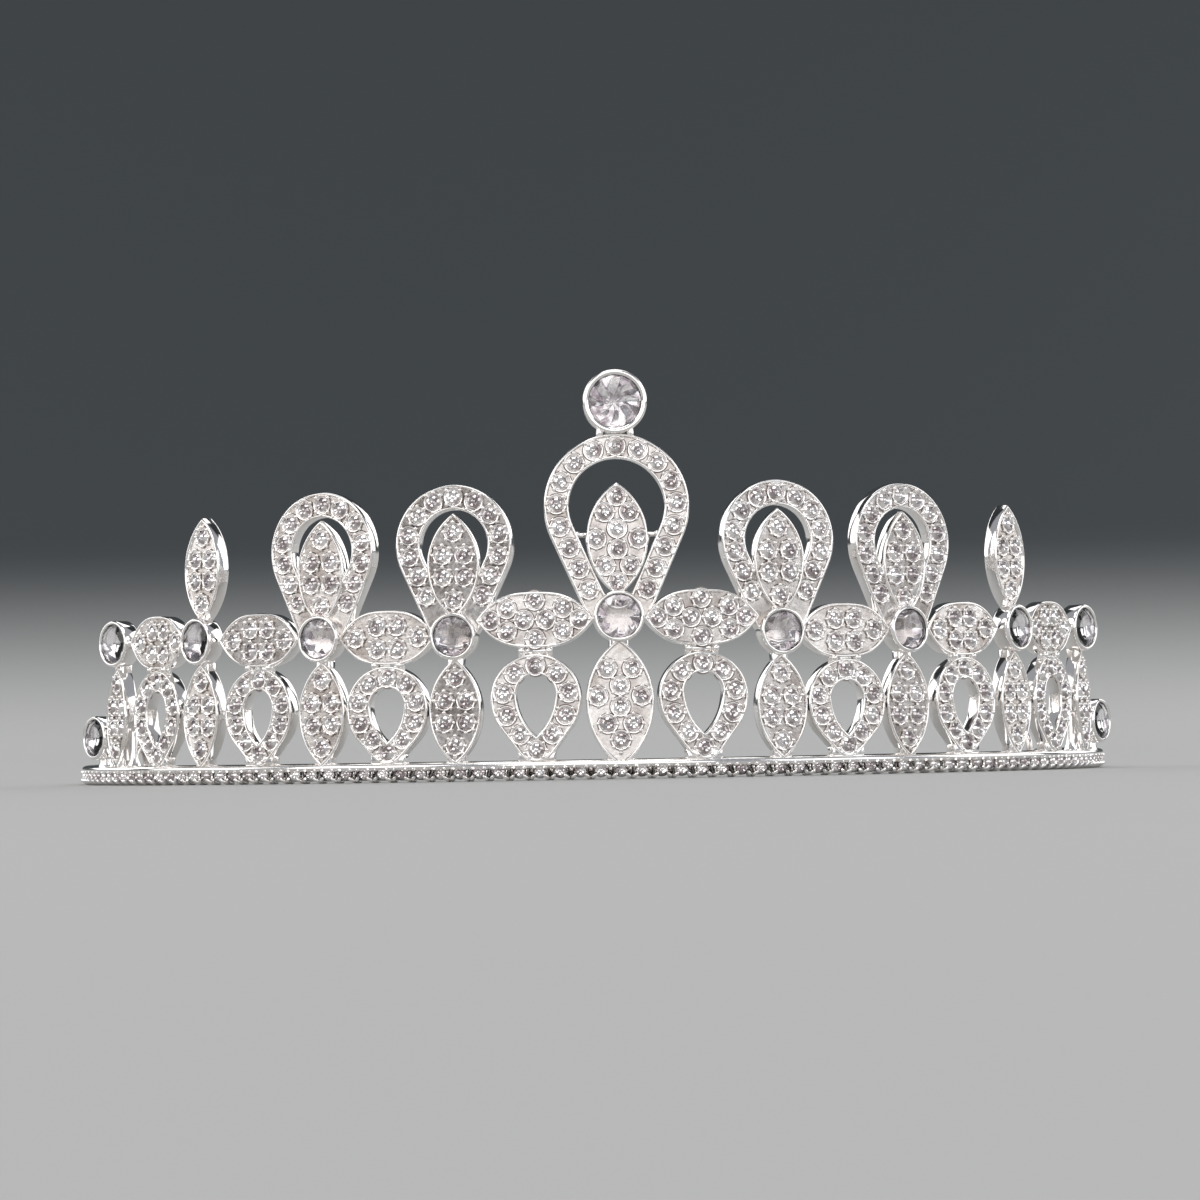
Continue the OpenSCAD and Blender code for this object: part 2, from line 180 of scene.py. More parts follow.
def revolve(solid, place, profile, n=20, closed=False, finish=0):
    """Turns a profile of (radius, height) about z. An open profile is capped at both ends."""
    a = np.arange(n) * 2 * math.pi / n
    rings = [np.stack([r * np.cos(a), r * np.sin(a), z + 0 * a], axis=1) for r, z in profile]
    faces = quads(len(rings), n, closed)
    if not closed:
        faces += [tuple(range(n)), tuple(range((len(rings) - 1) * n, len(rings) * n))]
    solid.add(place(np.concatenate(rings)), faces, finish=finish)


def tube(solid, place, path, radii, n=10):
    """Round bar along points, with a radius at each, rounded off at both ends."""
    p = np.asarray(path, float)
    r = np.asarray(radii, float)
    ways = np.gradient(p, axis=0)
    ways /= np.linalg.norm(ways, axis=1)[:, None]
    ends = [(p[0] - 0.6 * r[0] * ways[0], 0.6 * r[0]), (p[-1] + 0.6 * r[-1] * ways[-1], 0.6 * r[-1])]
    p = np.vstack([ends[0][0], p, ends[1][0]])
    r = np.concatenate([[ends[0][1]], r, [ends[1][1]]])
    ways = np.vstack([ways[0], ways, ways[-1]])
    a = np.arange(n) * 2 * math.pi / n
    rings = []
    for point, radius, way in zip(p, r, ways):
        side = np.cross(way, [0, 1, 0] if abs(way[1]) < 0.8 else [1, 0, 0])
        side /= np.linalg.norm(side)
        up = np.cross(way, side)
        rings.append(point + radius * (np.cos(a)[:, None] * side + np.sin(a)[:, None] * up))
    faces = quads(len(rings), n)
    faces += [tuple(range(n)), tuple(range((len(rings) - 1) * n, len(rings) * n))]
    solid.add(place(np.concatenate(rings)), faces)


def bead(solid, place, x, y, z, r, n=10, tall=1.0, finish=0):
    """Small ball of metal, such as a pushed-up claw."""
    steps = [-0.9, -0.45, 0.0, 0.42, 0.74, 0.94]
    profile = [(r * math.sqrt(1 - s * s), tall * r * s) for s in steps]
    revolve(solid, turned(place, 0, x, y, z), profile, n, finish=finish)


# ---------- Outlines: each takes an inset and gives the points of the outline moved in by it ----------

def leaf_outline(size, n=30):
    """Pointed leaf between two arcs."""
    def at(inset):
        big = (size[0] ** 2 + size[1] ** 2) / (4 * size[1])
        centre = big - size[1] / 2
        r = big - inset
        reach = math.asin(min(1, math.sqrt(max(0.0, r * r - centre * centre)) / r))
        t = np.linspace(-reach, reach, n, endpoint=False)
        right = np.stack([r * np.cos(t) - centre, r * np.sin(t)], axis=1)
        return np.concatenate([right, -right])
    return at


def full_leaf_outline(size, n=36):
    """Blunter leaf whose sides stay full towards the tips."""
    def at(inset):
        t = -np.cos(np.arange(n) * math.pi / n)
        half_width = (size[1] / 2 - inset) * (1 - np.abs(t) ** 3)
        right = np.stack([half_width, (size[0] / 2 - 1.2 * inset) * t], axis=1)
        return np.concatenate([right, -right])
    return at


def egg_outline(shape, v=0.0, n=26):
    """Round head whose sides curve in to a point below."""
    def at(inset):
        head, low = shape[0] - inset, shape[1] + shape[2] - 1.6 * inset
        big = (head ** 2 + low ** 2) / (2 * head)
        t = np.linspace(0, math.pi, n)
        top = np.stack([head * np.cos(t), head * np.sin(t)], axis=1)
        y = -low * np.arange(1, n) / n
        x = head - big + np.sqrt(big ** 2 - y ** 2)
        left, right = np.stack([-x, y], axis=1), np.stack([x, y], axis=1)[::-1]
        return np.concatenate([top, left, [[0, -low]], right]) + [0, v]
    return at


def drop_outline(shape, v=0.0, n=44):
    """Two round ends, the upper one larger, joined by straight sides."""
    def at(inset):
        head, tail = shape[0] - inset, max(0.05, shape[1] - inset)
        phi = math.asin((head - tail) / shape[2])
        t = np.linspace(-phi, math.pi + phi, n)
        top = np.stack([head * np.cos(t), head * np.sin(t) + v], axis=1)
        t = np.linspace(math.pi + phi, 2 * math.pi - phi, n // 3)
        low = np.stack([tail * np.cos(t), tail * np.sin(t) - shape[2] + v], axis=1)
        share = np.linspace(0, 1, 8)[1:-1, None]
        return np.concatenate([
            top, top[-1] + share * (low[0] - top[-1]), low, low[-1] + share * (top[0] - low[-1])])
    return at


def bar_outline(width, low, high, n=6):
    """Upright bar with rounded corners."""
    def at(inset):
        w, h = width / 2 - inset, (high - low) / 2 - inset
        r = max(0.05, min(0.35, w, h) - 0.5 * inset)
        corners = [(w - r, h - r, 0), (r - w, h - r, 90), (r - w, r - h, 180), (w - r, r - h, 270)]
        pts = []
        for x, y, start in corners:
            for k in range(n):
                t = math.radians(start + 90 * k / (n - 1))
                pts.append((x + r * math.cos(t), y + r * math.sin(t) + (low + high) / 2))
        return np.array(pts)
    return at


# Section of a casting's edge, as (inset, height): rounded back, side wall, raised lip, then the field
EDGE = ((0.32, 0.0), (0.1, 0.06), (0.0, 0.28), (0.0, CAST_T - 0.05), (0.03, CAST_T + 0.12),
        (0.12, CAST_T + 0.23), (0.24, CAST_T + 0.25), (0.35, CAST_T + 0.17), (0.4, CAST_T + 0.0),
        (0.46, CAST_T - 0.08))
PLAIN = ((0.3, 0.0), (0.1, 0.06), (0.0, 0.28), (0.0, CAST_T - 0.4), (0.08, CAST_T - 0.2),
         (0.25, CAST_T - 0.08))
# Finishes of a casting, as places in its list of materials; the last is painted shade in the crevices,
# partly tarnish
FIELD_FINISH, SMOOTH_FINISH, BACK_FINISH, CREVICE_SHADE_FINISH = range(4)


def plate(solid, place, outline, holes=(), section=EDGE):
    """Casting between an outline and its holes, with the section run round every edge."""
    n_points, loops = 0, []
    points, faces = [], []
    for sign, at in [(1, outline)] + [(-1, h) for h in holes]:
        rings = [at(sign * inset) for inset, _ in section]
        n = len(rings[0])
        for ring, (_, z) in zip(rings, section):
            points.append(np.column_stack([ring, np.full(n, z)]))
        faces += [tuple(i + n_points for i in f) for f in quads(len(rings), n)]
        loops.append((n_points, n, rings))
        n_points += n * len(rings)
    finish = [SMOOTH_FINISH] * len(faces)
    front_finish = FIELD_FINISH if section is EDGE else SMOOTH_FINISH
    for which, cap_finish in ((0, BACK_FINISH), (len(section) - 1, front_finish)):
        polys = [[Vector((*q, 0)) for q in rings[which]] for _, _, rings in loops]
        index = [start + which * n + k for start, n, _ in loops for k in range(n)]
        fill = [tuple(index[i] for i in tri) for tri in tessellate_polygon(polys)]
        faces += fill
        finish += [cap_finish] * len(fill)
    solid.add(place(np.concatenate(points)), faces, finish=finish)


def inside(ring, x, y):
    """True if the point is inside the closed ring."""
    a, b = ring, np.roll(ring, -1, axis=0)
    crossing = (a[:, 1] > y) != (b[:, 1] > y)
    at = a[:, 0] + (y - a[:, 1]) * (b[:, 0] - a[:, 0]) / np.where(crossing, b[:, 1] - a[:, 1], 1)
    return bool(np.sum(crossing & (x < at)) % 2)


# Distance of a claw from its own stone's centre, and the least from another stone's and another claw
CLAW_REACH, STONE_CLEAR, BEAD_CLEAR = 1.38, 1.34, 0.95


def claw_places(stones, outline, holes=()):
    """Places for the pushed-up beads round the stones, clear of other stones, each other and the lip."""
    rim = outline(0.34)
    rims = [h(-0.34) for h in holes]
    found = []
    for turn in (45, 0, 22.5, 67.5):
        for k in range(4):
            for s in stones:
                t = math.radians(turn + 90 * k)
                x, y = s[0] + CLAW_REACH * math.cos(t), s[1] + CLAW_REACH * math.sin(t)
                if not inside(rim, x, y) or any(inside(r, x, y) for r in rims):
                    continue
                if any((x - q[0]) ** 2 + (y - q[1]) ** 2 < STONE_CLEAR ** 2 for q in stones if q is not s):
                    continue
                if any((x - q[0]) ** 2 + (y - q[1]) ** 2 < BEAD_CLEAR ** 2 for q in found):
                    continue
                found.append((x, y))
    return found


def collar(solid, place, x, y, r, z):
    """Raised ring that a small stone sits in, with a dark ring of painted shade, partly tarnish, round its
    foot.
    """
    profile = [(r + 0.27, z - 0.15), (r + 0.28, z + 0.14), (r + 0.22, z + 0.27), (r + 0.07, z + 0.28),
               (r - 0.05, z + 0.16), (r - 0.08, z - 0.15)]
    revolve(solid, turned(place, 0, x, y), profile, 22, closed=True, finish=SMOOTH_FINISH)
    # Painted shade, partly tarnish: a thin dark ring laid in the crevice round the collar's foot
    crevice = [(r + 0.2, z - 0.08), (r + 0.2, z + 0.02), (r + 0.4, z + 0.02), (r + 0.42, z - 0.08)]
    revolve(solid, turned(place, 0, x, y), crevice, 22, closed=True, finish=CREVICE_SHADE_FINISH)


def corners_of(radius, n, z, turn=0.0):
    """Corners of a level regular polygon, turned by a share of its step."""
    steps = [2 * math.pi * (k + turn) / n for k in range(n)]
    return [(radius * math.cos(a), radius * math.sin(a), z) for a in steps]


def gem(solid, place, r, high, deep):
    """Small brilliant: girdle, kite and star facets round a table that shows the facets under it."""
    points = corners_of(r, 16, 0) + corners_of(0.8 * r, 8, 0.56 * high, 0.5) + corners_of(0.53 * r, 8, high)
    points += corners_of(0.26 * r, 8, high - 0.2 * r, 0.5) + [(0, 0, high - 0.06 * r)]
    points += corners_of(r, 16, -0.06) + [(0, 0, -deep)]
    kite, table, inner, centre, low, point = 16, 24, 32, 40, 41, 57
    faces = []
    for k in range(8):
        j = (k + 1) % 8
        faces.append((table + k, table + j, kite + k))
        faces.append((table + k, kite + (k - 1) % 8, 2 * k, kite + k))
        faces.append((kite + k, 2 * k, 2 * k + 1))
        faces.append((kite + k, 2 * k + 1, (2 * k + 2) % 16))
        faces.append((table + k, table + j, inner + k))
        faces.append((table + j, inner + j, inner + k))
        faces.append((inner + k, inner + j, centre))
    for k in range(16):
        j = (k + 1) % 16
        faces.append((k, j, low + j, low + k))
        faces.append((low + k, low + j, point))
    solid.add(place(points), faces, flat=True)


def set_stones(metal, gems, place, stones, z, claws):
    """Puts a collar, a gem and the claws of each stone on a field at height z."""
    for x, y in stones:
        collar(metal, place, x, y, PAVE_R, z)
        tilt = turned(place, rng.uniform(0, 45), x, y, z + 0.1)
        lean_x, lean_y = rng.uniform(-0.09, 0.09), rng.uniform(-0.09, 0.09)

        def tilted(p, tilt=tilt, lean_x=lean_x, lean_y=lean_y):
            p = np.array(p, float)
            p[:, 2] += lean_x * p[:, 0] + lean_y * p[:, 1]
            return tilt(p)
        gem(gems, tilted, PAVE_R + 0.04, 0.5, 0.6)
        bead(metal, place, x, y, 0.05, 0.62, 12, 0.45, finish=BACK_FINISH)
    for x, y in claws:
        bead(metal, place, x, y, z + 0.18, rng.uniform(0.27, 0.34), 9, finish=SMOOTH_FINISH)


# ---------- Stone patterns, as in the CAD source ----------

SMALL_STONES = [(1.55 * p, s * 4.7 * q) for p, q in ((0, 1), (1, 0.32), (-1, 0.32)) for s in (1, -1)]


def large_stones(size):
    """Ten places over a large leaf."""
    length, width = size
    return [p for s in (1, -1) for p in (
        (0, s * 0.378 * length), (0.2 * width, s * 0.238 * length), (-0.2 * width, s * 0.238 * length),
        (0, s * 0.092 * length), (s * 0.342 * width, 0))]


def loop_stones(loop, inset, pairs, pitch):
    """A stone at the top, then pairs down both sides at an even pitch."""
    tilt = math.asin((loop[0] - loop[1]) / loop[2])
    mid = loop[0] - inset
    arc = mid * (math.pi / 2 + tilt)
    found = [(0, mid)]
    for k in range(1, pairs + 1):
        along = k * pitch
        if along < arc:
            x, y = mid * math.sin(along / mid), mid * math.cos(along / mid)
        else:
            x = mid * math.cos(tilt) - (along - arc) * math.sin(tilt)
            y = -mid * math.sin(tilt) - (along - arc) * math.cos(tilt)
        found += [(x, y), (-x, y)]
    return found


def drop_stones(d):
    """Stones evenly all round a drop, with one at its foot."""
    tilt = math.asin((d[0] - d[1]) / d[2])
    head = (d[0] - DROP_STONE_INSET) * (math.pi + 2 * tilt)
    tail = (d[1] - DROP_STONE_INSET) * (math.pi - 2 * tilt)
    line = head + tail + 2 * d[2] * math.cos(tilt)
    return loop_stones(d, DROP_STONE_INSET, 4, line / 10) + [(0, -d[2] - d[1] + DROP_STONE_INSET)]


# ---------- Materials ----------

def shader(name, **values):
    """Principled material, with each value named after its input."""
    m = bpy.data.materials.new(name)
    m.use_nodes = True
    s = m.node_tree.nodes["Principled BSDF"]
    for key, value in values.items():
        s.inputs[key.replace("_", " ")].default_value = value
    return m, m.node_tree, s


def noise(tree, coordinates, scale, detail=3.0):
    """Noise in the object's own coordinates."""
    n = tree.nodes.new("ShaderNodeTexNoise")
    n.inputs["Scale"].default_value = scale
    n.inputs["Detail"].default_value = detail
    tree.links.new(coordinates.outputs["Object"], n.inputs["Vector"])
    return n


def spread(tree, value, low, high):
    """Maps the middle of a noise onto a range."""
    r = tree.nodes.new("ShaderNodeMapRange")
    r.inputs["From Min"].default_value = 0.3
    r.inputs["From Max"].default_value = 0.7
    r.inputs["To Min"].default_value = low
    r.inputs["To Max"].default_value = high
    tree.links.new(value, r.inputs["Value"])
    return r.outputs["Result"]


def silver_plate(name, rough, grain, bump, dull, bright):
    """Plated casting: slightly uneven skin, with duller patches between the bright ones."""
    m, tree, s = shader(name, Metallic=1.0)
    where = tree.nodes.new("ShaderNodeTexCoord")
    patches = noise(tree, where, 260.0)
    skin = noise(tree, where, grain, 2.0)
    colour = tree.nodes.new("ShaderNodeValToRGB")
    colour.color_ramp.elements[0].position = 0.35
    colour.color_ramp.elements[0].color = dull
    colour.color_ramp.elements[1].position = 0.6
    colour.color_ramp.elements[1].color = bright
    tree.links.new(patches.outputs["Fac"], colour.inputs["Fac"])
    tree.links.new(colour.outputs["Color"], s.inputs["Base Color"])
    tree.links.new(spread(tree, skin.outputs["Fac"], rough * 0.7, rough * 1.4), s.inputs["Roughness"])
    b = tree.nodes.new("ShaderNodeBump")
    b.inputs["Strength"].default_value = bump
    b.inputs["Distance"].default_value = 0.00006
    tree.links.new(skin.outputs["Fac"], b.inputs["Height"])
    tree.links.new(b.outputs["Normal"], s.inputs["Normal"])
    return m


def foiled(name, light, dark, rough):
    """Facets over foil: a bright mirror whose tone drifts from stone to stone."""
    m, tree, s = shader(name, Metallic=1.0, Roughness=rough)
    where = tree.nodes.new("ShaderNodeTexCoord")
    drift = noise(tree, where, 700.0, 1.0)
    colour = tree.nodes.new("ShaderNodeValToRGB")
    colour.color_ramp.elements[0].position = 0.38
    colour.color_ramp.elements[0].color = dark
    colour.color_ramp.elements[1].position = 0.62
    colour.color_ramp.elements[1].color = light
    tree.links.new(drift.outputs["Fac"], colour.inputs["Fac"])
    tree.links.new(colour.outputs["Color"], s.inputs["Base Color"])
    return m


def clear(name):
    """Cut crystal with the faint wear and finger marks that dull its polish in places."""
    m, tree, s = shader(name, Base_Color=(1, 0.99, 1, 1), IOR=1.56, Transmission_Weight=1.0)
    where = tree.nodes.new("ShaderNodeTexCoord")
    wear = noise(tree, where, 420.0)
    tree.links.new(spread(tree, wear.outputs["Fac"], 0.0, 0.035), s.inputs["Roughness"])
    return m


CAST = silver_plate("cast_silver", 0.24, 1700.0, 0.3, (0.46, 0.41, 0.38, 1), (0.76, 0.72, 0.69, 1))
SMOOTH = silver_plate("smooth_silver", 0.1, 1200.0, 0.15, (0.92, 0.885, 0.855, 1), (0.99, 0.97, 0.955, 1))
BACK = silver_plate("back_silver", 0.3, 900.0, 0.6, (0.72, 0.68, 0.65, 1), (0.93, 0.9, 0.88, 1))
# Painted shade, partly tarnish: dark brown-grey silver for the rings in the crevices round the collars
CREVICE_SHADE_AND_TARNISH = silver_plate("crevice_shade_and_tarnish", 0.35, 1700.0, 0.3, (0.16, 0.13, 0.12, 1), (0.34, 0.29, 0.27, 1))
METALS = [CAST, SMOOTH, BACK, CREVICE_SHADE_AND_TARNISH]
PAVE = foiled("foiled_pave", (1.0, 0.975, 0.965, 1), (0.46, 0.41, 0.41, 1), 0.03)
FOIL = foiled("foil_mirror", (0.93, 0.915, 0.91, 1), (0.42, 0.38, 0.4, 1), 0.04)
CRYSTAL = clear("clear_crystal")

# ---------- Castings ----------

lower_gems, middle_gems, upper_gems = Solid(), Solid(), Solid()
FIELD = CAST_T - 0.08


def leaf(name, gems, place, size, stones, nodes, extra=None, outline=None):
    """Leaf with its stones and any extra metal."""
    metal = Solid()
    outline = outline or leaf_outline(size)
    plate(metal, place, outline)
    set_stones(metal, gems, place, stones, FIELD, claw_places(stones, outline))
    if extra:
        extra(metal)
    metal.make(name, METALS, nodes)


def stem(name, angle, size, v, stones, stones_v, neck, foot, top, nodes):
    """Upright leaf of the lower row, with the bars that hold it above and below."""
    metal = Solid()
    place = crown(angle)
    outline = leaf_outline(size)
    plate(metal, crown(angle, v), outline)
    plate(metal, crown(angle, 0, -0.06), bar_outline(neck, top - 3, top), section=PLAIN)
    plate(metal, crown(angle, 0, -0.06), bar_outline(foot, -0.3, 2.0), section=PLAIN)
    shifted = [(x, y + stones_v - v) for x, y in stones]
    set_stones(metal, lower_gems, crown(angle, v), shifted, FIELD, claw_places(shifted, outline))
    bead(metal, place, 0, 0.75, CAST_T, 0.34)
    metal.make(name, METALS, nodes)


stem("stem_front_cast", 0, FRONT_STEM, FRONT_STEM_V, [p for p in large_stones((16, 8.8)) if p[1] < 5],
     FRONT_STEM_STONES_V, 2.8, 3.8, 16.6, ["stem_front"])
leaf("centre_leaf_cast", upper_gems, crown(0, CENTRE_LEAF_V, 0.3), INNER_LEAF, large_stones(INNER_LEAF),
     ["centre_leaf"])


def loop(name, angle, v, shape, stones, nodes):
    """Open drop with a row of stones round it."""
    metal = Solid()
    place = crown(angle, v)
    outline = drop_outline(shape)
    hole = drop_outline((shape[0] - LOOP_BAND, shape[1] - LOOP_BAND, shape[2]))
    plate(metal, place, outline, [hole])
    set_stones(metal, upper_gems, place, stones, FIELD, claw_places(stones, outline, [hole]))
    metal.make(name, METALS, nodes)


loop("centre_loop_cast", 0, CENTRE_LOOP_V, CENTRE_LOOP,
     loop_stones(CENTRE_LOOP, LOOP_BAND / 2, 8, CENTRE_PITCH), ["centre_loop"])

for side, word in ((-1, "left"), (1, "right")):
    for i in range(4):
        n = i + 1
        stem(f"stem_{word}_{n}_cast", side * STEMS[i], SMALL_LEAF, STEM_V, SMALL_STONES, STEM_V,
             2.3, 2.8, 14.4, [f"stem_{word}_{n}"])
        first = i == 0
        size = FRONT_LEAF if first else SMALL_LEAF
        height = FRONT_LEAF_V if first else SIDE_V
        lying = turned(crown(side * DROPS[i], height), 90)
        stones = large_stones(size) if first else SMALL_STONES
        leaf(f"leaf_{word}_{n}_cast", middle_gems, lying, size, stones, [f"leaf_{word}_{n}"],
             outline=full_leaf_outline(size))
        metal = Solid()
        shape, v = (FIRST_DROP, FIRST_DROP_V) if first else (SIDE_DROP, SIDE_DROP_V)
        hole_shape, hole_v = (FIRST_HOLE, FIRST_HOLE_V) if first else (SIDE_HOLE, SIDE_HOLE_V)
        place = crown(side * DROPS[i], v)
        outline, hole = drop_outline(shape), egg_outline(hole_shape, hole_v - v)
        plate(metal, place, outline, [hole])
        plate(metal, crown(side * DROPS[i], 0, 0.1), bar_outline(5.2, -0.3, 1.2), section=PLAIN)
        stones = drop_stones(shape)
        set_stones(metal, lower_gems, place, stones, FIELD, claw_places(stones, outline, [hole]))
        metal.make(f"drop_{word}_{n}_cast", METALS, [f"drop_{word}_{n}"])
    for i in range(2):
        n = i + 1
        fall = i * SECOND_FALL
        loop(f"loop_{word}_{n}_cast", side * STEMS[i], SIDE_LOOP_V - fall, SIDE_LOOP,
             loop_stones(SIDE_LOOP, LOOP_BAND / 2, 6, SIDE_PITCH), [f"loop_{word}_{n}"])
        leaf(f"loop_leaf_{word}_{n}_cast", upper_gems, crown(side * STEMS[i], SIDE_LEAF_V - fall, 0.35),
             SMALL_LEAF, SMALL_STONES, [f"loop_leaf_{word}_{n}"])

    def neck(metal, side=side):
        path = [(0, 19, 0.9), (0, 20.5, 0.9), (0, 22.5, 0.9)]
        tube(metal, crown(side * STEMS[2]), path, [0.95, 0.8, 0.95], 12)
    leaf(f"spear_{word}_cast", upper_gems, crown(side * STEMS[2], SPEAR_V), SMALL_LEAF, SMALL_STONES,
         [f"spear_{word}"], neck)

lower_gems.make("lower_gems", [PAVE], ["lower_pave"], "crystal")
middle_gems.make("middle_gems", [PAVE], ["middle_pave"], "crystal")
upper_gems.make("upper_gems", [PAVE], ["upper_pave"], "crystal")

# ---------- Round settings ----------

clear_parts, foil_parts = Solid(), Solid()


def chaton(place, r, z):
    """Large round brilliant: a clear crown over the mirror facets of its foiled underside."""
    high, deep = 0.26 * r, 0.62 * r
    points = corners_of(r, 16, 0) + corners_of(0.8 * r, 8, 0.58 * high, 0.5)
    points += corners_of(0.56 * r, 8, high) + corners_of(r, 16, -0.08)
    kite, table, low = 16, 24, 32
    faces = [tuple(range(table, table + 8)), tuple(range(low, low + 16))]
    for k in range(8):
        faces.append((table + k, table + (k + 1) % 8, kite + k))
        faces.append((table + k, kite + (k - 1) % 8, 2 * k, kite + k))
        faces.append((kite + k, 2 * k, 2 * k + 1))
        faces.append((kite + k, 2 * k + 1, (2 * k + 2) % 16))
    for k in range(16):
        faces.append((k, (k + 1) % 16, low + (k + 1) % 16, low + k))
    turn = rng.uniform(0, 45)
    clear_parts.add(turned(place, turn, z=z)(points), faces, flat=True)
    # The underside: eight ridges run from the girdle to the point, with folds between them.
    points = corners_of(r, 16, -0.12) + [(0, 0, -0.12 - deep)] + corners_of(r, 16, -0.4 - deep)
    ridges, folds = corners_of(0.5 * r, 16, -0.12 - 0.5 * deep), corners_of(0.5 * r, 16, -0.12 - 0.8 * deep)
    points += [(ridges, folds)[k % 2][k] for k in range(16)]
    faces = [tuple(range(17, 33))]
    for k in range(16):
        j = (k + 1) % 16
        faces += [(k, j, 33 + j), (k, 33 + j, 33 + k), (33 + k, 33 + j, 16), (k, j, 17 + j, 17 + k)]
    foil_parts.add(turned(place, turn, z=z)(points), faces, flat=True)


def on_cup(angle, v):
    """A side cup's frame. The last ones on each side turn back towards the front."""
    base = crown(angle, v, CUP_W)
    turn = 0 if abs(angle) < STEMS[3] else -math.copysign(math.radians(END_TURN), angle)

    def at(p):
        x, y, z = np.array(p, float).T
        return base(np.column_stack([
            x * math.cos(turn) + z * math.sin(turn), y, z * math.cos(turn) - x * math.sin(turn)]))
    return at


def bezel(name, place, outer, stone, deep, nodes):
    """Round cup whose lip turns in over the stone's edge."""
    metal = Solid()
    profile = [(0.1, 0), (0.8 * outer, 0), (0.93 * outer, 0.14), (outer, 0.6), (outer, deep - 0.5),
               (outer - 0.05, deep - 0.2), (outer - 0.17, deep - 0.04), (outer - 0.32, deep),
               (stone + 0.12, deep - 0.05), (stone + 0.02, deep - 0.2), (stone + 0.04, deep - 0.5),
               (0.2, deep - 0.6 - 0.62 * stone - 0.35)]
    revolve(metal, place, profile, 56)
    metal.make(name, [SMOOTH], nodes)
    chaton(place, stone, deep - 0.3)


bezel("setting_front_cup", crown(0, FRONT_V, CUP_W), FRONT_STONE + CUP_WALL, FRONT_STONE, CUP_DEEP,
      ["setting_front"])
bezel("top_setting_cup", crown(0, TOP_V, -0.4), TOP_STONE + TOP_WALL, TOP_STONE, 3.4, ["top_setting"])
for side, word in ((-1, "left"), (1, "right")):
    for i in range(4):
        name = f"setting_{word}_{i + 1}"
        bezel(f"{name}_cup", on_cup(side * STEMS[i], SIDE_V), SIDE_STONE + CUP_WALL, SIDE_STONE,
              CUP_DEEP, [name])
    name = f"end_setting_{word}"
    bezel(f"{name}_cup", on_cup(side * END_ANGLE, END_V), END_CUP_R, END_STONE, CUP_DEEP, [name])
foil_parts.make("round_foils", [FOIL], [], "large_crystal")
clear_parts.make("round_stones_clear", [CRYSTAL], ["round_stones"], "large_crystal")

# ---------- Rail ----------

# Section of the strip, as (radius, height): a wall behind the stones, its top folded out over them
section = [(BAND_R + 0.12, 0.45), (CHAIN_R - 0.1, 0.45), (CHAIN_R, 0.55), (CHAIN_R, 1.95),
           (CHAIN_R + 0.1, 2.05), (RAIL_R - 0.66, 1.95), (RAIL_R - 0.5, 1.78), (RAIL_R - 0.38, 1.72),
           (RAIL_R - 0.26, 1.78), (RAIL_R - 0.19, 1.95), (RAIL_R - 0.16, 2.2), (RAIL_R - 0.24, 2.44),
           (RAIL_R - 0.44, 2.62), (RAIL_R - 0.75, 2.74), (RAIL_R - 1.2, 2.8), (RAIL_R - 1.8, 2.78),
           (RAIL_R - 2.4, 2.66),
           (BAND_R + 0.1, 2.5), (BAND_R, 2.36), (BAND_R, 0.57)]
steps = 300
rows = []
for k in range(steps + 1):
    angle = -RAIL_END + 2 * RAIL_END * k / steps
    rows.append(on_arc(angle, np.zeros(len(section)), np.array([s[0] for s in section]),
                       np.array([s[1] for s in section])))
faces = quads(len(rows), len(section))
faces += [tuple(range(len(section))), tuple(range(steps * len(section), (steps + 1) * len(section)))]
band = Solid()
band.add(np.concatenate(rows), faces)
band.make("rail_strip", [SMOOTH], ["base_band"])

CHAIN_PITCH, CHAIN_H, CHAIN_STONE = 2.8, 1.28, 0.98
chain_step = math.degrees(CHAIN_PITCH / (CHAIN_R + CUP_DEPTH / 2))
half = int(RAIL_END / chain_step)
cup_profile = [(0.3, 0), (0.92, 0.0), (1.0, 0.1), (1.0, 0.62), (0.98, 0.8), (0.85, 0.85), (0.3, 0.5)]
rail_gems = Solid()
for word, first, last in (("left", -half, 0), ("right", 1, half)):
    claws = Solid()
    for k in range(first, last + 1):
        place = on_rail(k * chain_step, CHAIN_R, CHAIN_H)
        revolve(claws, place, cup_profile, 20)
        for x in (-1, 1):
            for y, reach in ((-1, 0.97), (1, 0.7)):
                path = [(1.18 * x, reach * y, 0.2), (1.16 * x, reach * y, 1.1),
                        (1.0 * x, 0.8 * reach * y, 1.55), (0.74 * x, 0.58 * y, 1.85)]
                tube(claws, place, path, [0.3, 0.29, 0.29, 0.26], 8)
        spun = turned(place, rng.uniform(0, 45), z=CUP_DEPTH - 0.35)
        gem(rail_gems, spun, CHAIN_STONE, 0.5, 0.8)
    claws.make(f"rail_claws_{word}", [SMOOTH], [f"cup_chain_{word}"])
rail_gems.make("rail_gems", [PAVE], ["chain_stones"], "crystal")

for side, word in ((-1, "left"), (1, "right")):
    ring = Solid()
    place = on_rail(side * EYELET_ANGLE, EYELET_CENTRE_R, EYELET_OUT)
    mid, thick = (EYELET_R + EYELET_OUT) / 2, (EYELET_OUT - EYELET_R) / 2
    around = [(mid + thick * math.cos(t), 0.5 * math.sin(t)) for t in np.linspace(0, 2 * math.pi, 14)[:-1]]
    revolve(ring, place, around, 48, closed=True)
    tab = turned(place, 0, side * -2.9, -EYELET_OUT + 1.3, -0.45)
    plate(ring, turned(tab, 90), bar_outline(1.8, -2.6, 2.6), section=tuple((a, 0.5 * z) for a, z in PLAIN))
    ring.make(f"eyelet_{word}", METALS, [f"end_eyelet_{word}"])

# ---------- Small joining metal ----------

